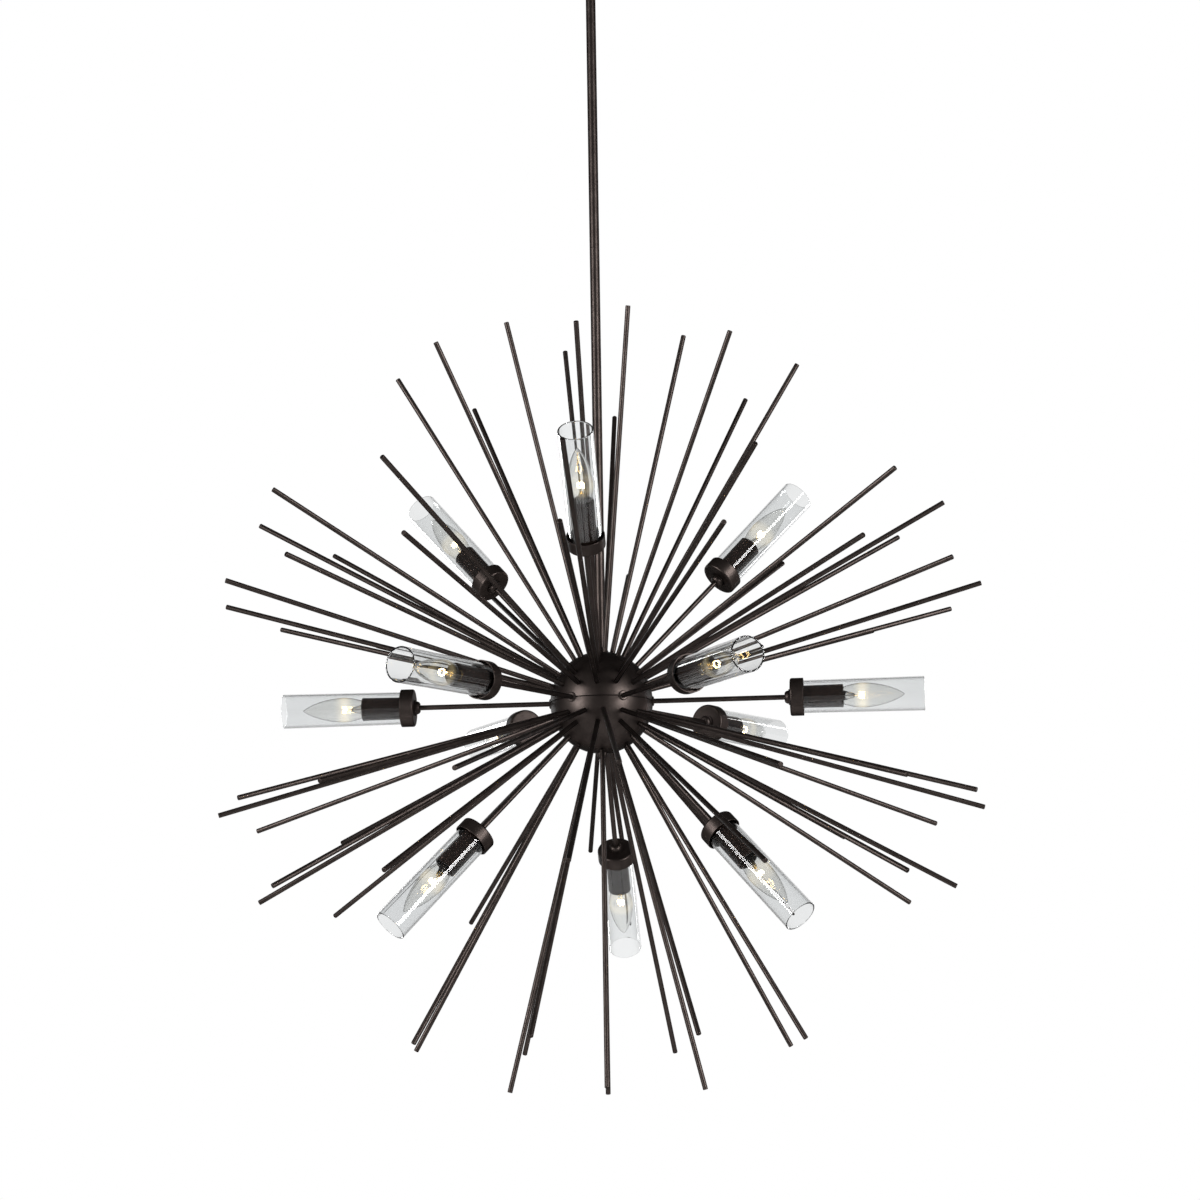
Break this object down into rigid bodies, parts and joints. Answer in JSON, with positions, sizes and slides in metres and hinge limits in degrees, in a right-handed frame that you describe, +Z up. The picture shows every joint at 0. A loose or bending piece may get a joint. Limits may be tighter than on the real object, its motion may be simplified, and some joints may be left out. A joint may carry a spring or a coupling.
{
  "type": "sputnik chandelier",
  "caption": "Ball chandelier on a screwed stem, with plain radial spikes and candle lights in open glass cylinders.",
  "frame": {"origin": "centre of the canopy at the ceiling plane, on the stem's axis", "axes": "+Z up along the stem; -Y towards the first of the three upper lights; +X along the crossbar"},
  "size_m": [0.9684, 0.9684, 1.5146],
  "materials": {
    "dark_bronze": "satin dark bronze",
    "zinc_steel": "zinc plated",
    "green_steel": "green ground screw",
    "nylon": "matte bearing ring",
    "washer_rubber": "matte",
    "black_gloss": "gloss black moulding",
    "brass": "bright",
    "clear_glass": "clear",
    "bulb_glass": "clear candle bulb"
  },
  "bodies": {
    "ceiling_mount": {"crossbar": "zinc_steel", "ground_screw": "green_steel", "canopy": "dark_bronze", "canopy_studs": "zinc_steel", "canopy_ball_nuts": "dark_bronze", "canopy_nipple": "zinc_steel", "canopy_plate": "zinc_steel", "canopy_locknut": "zinc_steel", "swivel_housing": "dark_bronze", "swivel_collar": "dark_bronze"},
    "swivel": {"swivel_seat": "nylon"},
    "hanging": {"swivel_ball": "dark_bronze", "stem_upper": "dark_bronze", "stem_middle": "dark_bronze", "stem_lower": "dark_bronze", "stem_joiners": "zinc_steel", "neck_collar": "dark_bronze", "ball_upper_shell": "dark_bronze", "ball_lower_shell": "dark_bronze", "ball_cross_tube": "zinc_steel", "ball_locknuts": "zinc_steel", "ball_cap_nut": "dark_bronze", "spikes_upper": "dark_bronze", "spikes_lower": "dark_bronze", "spike_nuts_upper": "zinc_steel", "spike_nuts_lower": "zinc_steel", "light_arms": "dark_bronze", "arm_nuts": "zinc_steel", "seam_ferrules": "dark_bronze", "arm_bosses": "dark_bronze", "socket_cups": "dark_bronze", "shade_washers": "washer_rubber", "candle_sleeves": "black_gloss", "screw_shells": "brass", "shade_01": "clear_glass", "shade_02": "clear_glass", "shade_03": "clear_glass", "shade_04": "clear_glass", "shade_05": "clear_glass", "shade_06": "clear_glass", "shade_07": "clear_glass", "shade_08": "clear_glass", "shade_09": "clear_glass", "shade_10": "clear_glass", "shade_11": "clear_glass", "shade_12": "clear_glass"},
    "turning_bulb_01": {"bulb_01": "bulb_glass"},
    "turning_bulb_02": {"bulb_02": "bulb_glass"},
    "turning_bulb_03": {"bulb_03": "bulb_glass"},
    "turning_bulb_04": {"bulb_04": "bulb_glass"},
    "turning_bulb_05": {"bulb_05": "bulb_glass"},
    "turning_bulb_06": {"bulb_06": "bulb_glass"},
    "turning_bulb_07": {"bulb_07": "bulb_glass"},
    "turning_bulb_08": {"bulb_08": "bulb_glass"},
    "turning_bulb_09": {"bulb_09": "bulb_glass"},
    "turning_bulb_10": {"bulb_10": "bulb_glass"},
    "turning_bulb_11": {"bulb_11": "bulb_glass"},
    "turning_bulb_12": {"bulb_12": "bulb_glass"}
  },
  "joints": [
    {"name": "swivel_turn", "type": "hinge", "parent": "ceiling_mount", "child": "swivel", "pos_m": [0, 0, -0.042], "axis": [0, 0, 1], "range_deg": [-165, 165]},
    {"name": "hang_tilt", "type": "hinge", "parent": "swivel", "child": "hanging", "pos_m": [0, 0, -0.042], "axis": [1, 0, 0], "range_deg": [-20, 20]},
    {"name": "bulb_turn_01", "type": "hinge", "parent": "hanging", "child": "turning_bulb_01", "pos_m": [0, -0.21638, -0.80963], "axis": [0, -0.7071, 0.7071], "range_deg": [0, 360]},
    {"name": "bulb_turn_02", "type": "hinge", "parent": "hanging", "child": "turning_bulb_02", "pos_m": [0.18739, 0.10819, -0.80963], "axis": [0.6124, 0.3536, 0.7071], "range_deg": [0, 360]},
    {"name": "bulb_turn_03", "type": "hinge", "parent": "hanging", "child": "turning_bulb_03", "pos_m": [-0.18739, 0.10819, -0.80963], "axis": [-0.6124, 0.3536, 0.7071], "range_deg": [0, 360]},
    {"name": "bulb_turn_04", "type": "hinge", "parent": "hanging", "child": "turning_bulb_04", "pos_m": [0.153, -0.265, -1.026], "axis": [0.5, -0.866, 0], "range_deg": [0, 360]},
    {"name": "bulb_turn_05", "type": "hinge", "parent": "hanging", "child": "turning_bulb_05", "pos_m": [0.306, 0, -1.026], "axis": [1, 0, 0], "range_deg": [0, 360]},
    {"name": "bulb_turn_06", "type": "hinge", "parent": "hanging", "child": "turning_bulb_06", "pos_m": [0.153, 0.265, -1.026], "axis": [0.5, 0.866, 0], "range_deg": [0, 360]},
    {"name": "bulb_turn_07", "type": "hinge", "parent": "hanging", "child": "turning_bulb_07", "pos_m": [-0.153, 0.265, -1.026], "axis": [-0.5, 0.866, 0], "range_deg": [0, 360]},
    {"name": "bulb_turn_08", "type": "hinge", "parent": "hanging", "child": "turning_bulb_08", "pos_m": [-0.306, 0, -1.026], "axis": [-1, 0, 0], "range_deg": [0, 360]},
    {"name": "bulb_turn_09", "type": "hinge", "parent": "hanging", "child": "turning_bulb_09", "pos_m": [-0.153, -0.265, -1.026], "axis": [-0.5, -0.866, 0], "range_deg": [0, 360]},
    {"name": "bulb_turn_10", "type": "hinge", "parent": "hanging", "child": "turning_bulb_10", "pos_m": [-0.18739, -0.10819, -1.24238], "axis": [-0.6124, -0.3536, -0.7071], "range_deg": [0, 360]},
    {"name": "bulb_turn_11", "type": "hinge", "parent": "hanging", "child": "turning_bulb_11", "pos_m": [0, 0.21638, -1.24238], "axis": [0, 0.7071, -0.7071], "range_deg": [0, 360]},
    {"name": "bulb_turn_12", "type": "hinge", "parent": "hanging", "child": "turning_bulb_12", "pos_m": [0.18739, -0.10819, -1.24238], "axis": [0.6124, -0.3536, -0.7071], "range_deg": [0, 360]}
  ]
}
